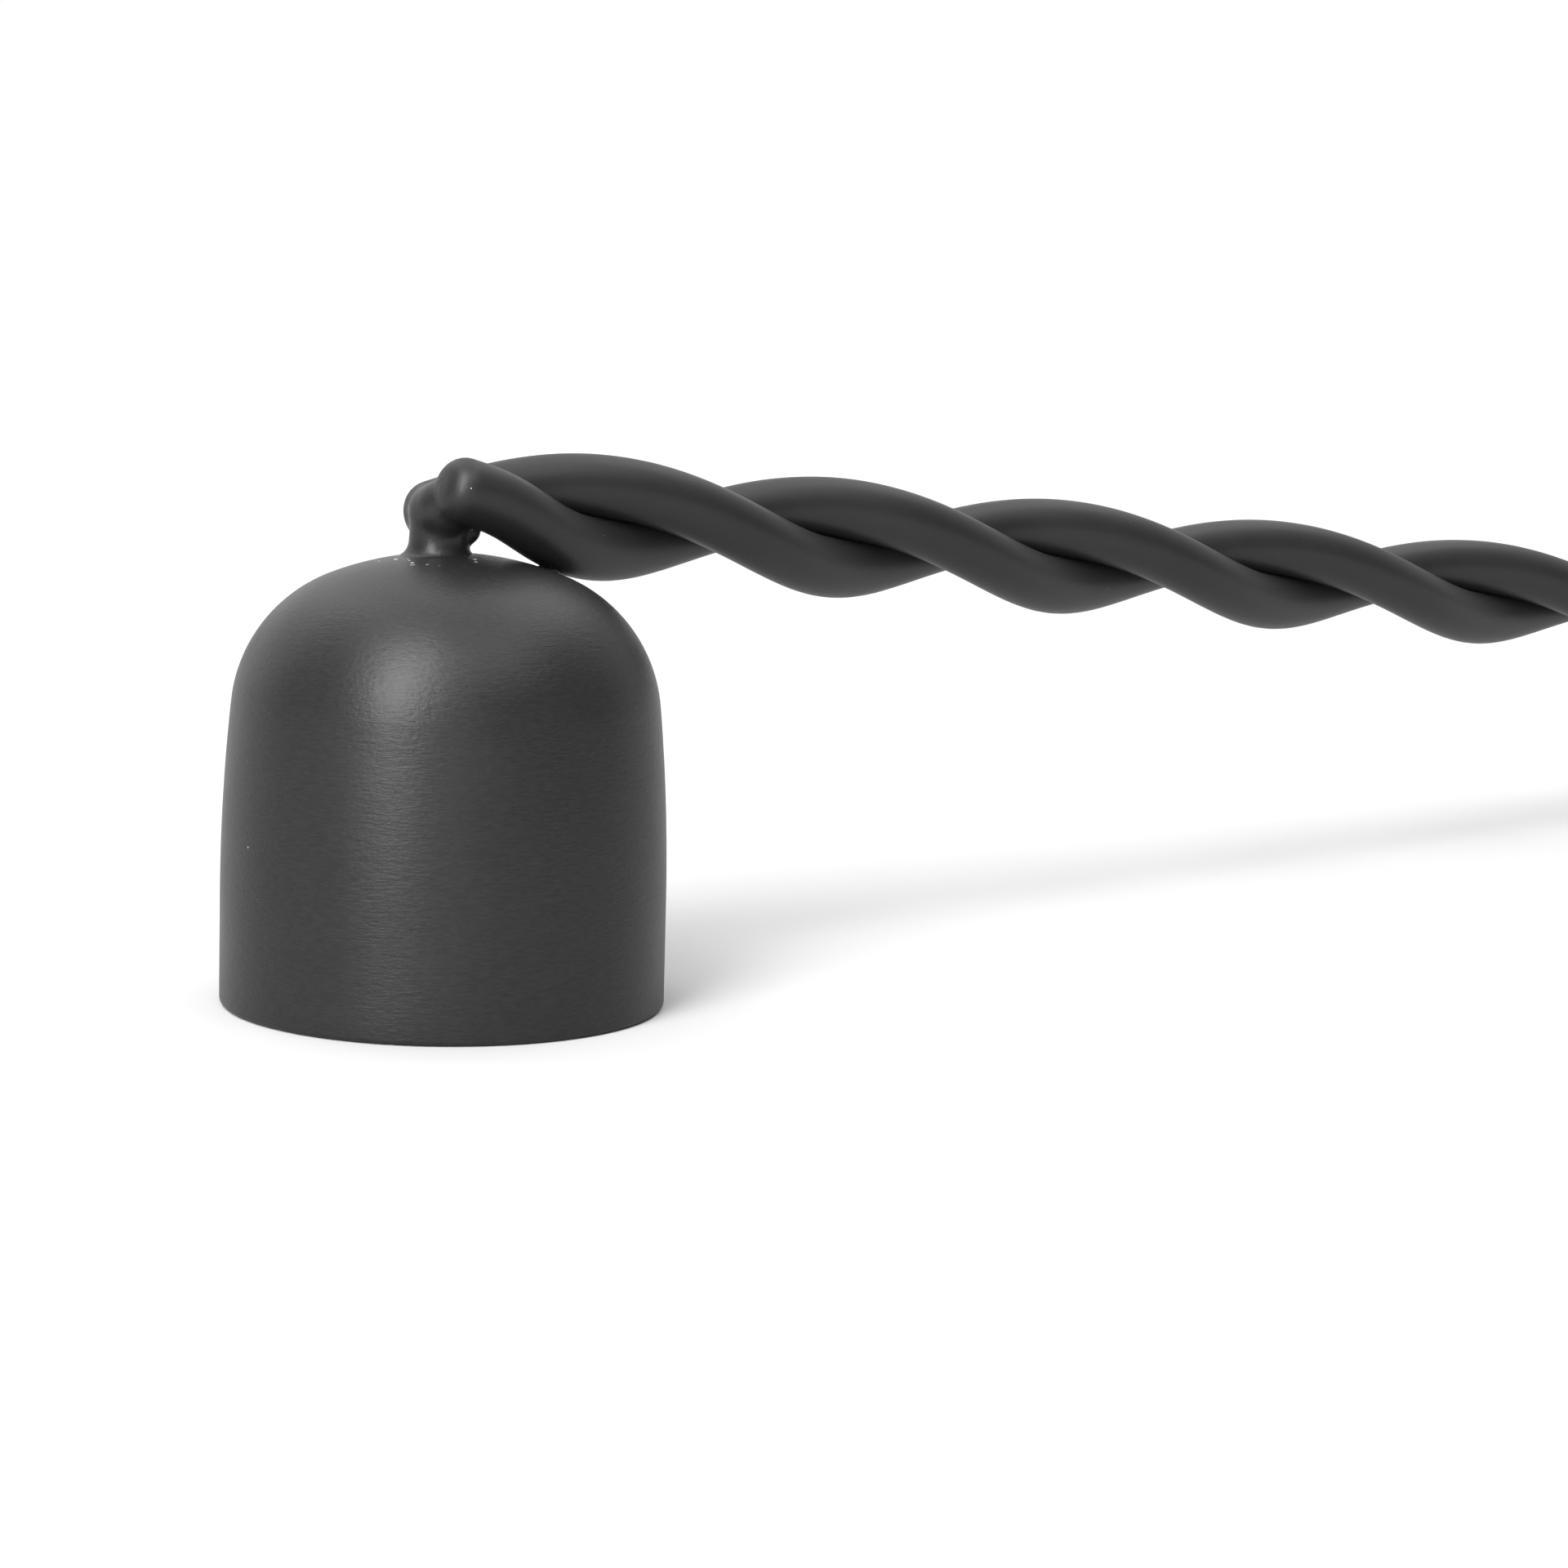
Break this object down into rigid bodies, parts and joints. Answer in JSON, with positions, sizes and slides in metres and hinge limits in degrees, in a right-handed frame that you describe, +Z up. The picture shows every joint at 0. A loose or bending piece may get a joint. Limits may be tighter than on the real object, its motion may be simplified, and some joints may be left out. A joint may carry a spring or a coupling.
{
  "type": "candle snuffer",
  "caption": "Candle snuffer: an open domed bell with a long handle of twisted round rods brazed on its crown, blackened and brushed.",
  "frame": {"origin": "centre of the bell's mouth, in the plane of the rim", "axes": "+Z up along the bell's axis, +X along the handle towards its tail"},
  "size_m": [0.2708, 0.0274, 0.0339],
  "materials": {
    "brushed_black_bell": "blackened steel, brushed round the axis, satin",
    "black_rod": "blackened steel rod, satin",
    "black_braze": "blackened braze, slightly porous"
  },
  "bodies": {
    "root": {"bell": "brushed_black_bell", "front_rod": "black_rod", "back_rod": "black_rod", "end_braze": "black_braze", "crown_braze": "black_braze", "shoulder_braze": "black_braze", "tail_braze": "black_braze"}
  },
  "joints": []
}
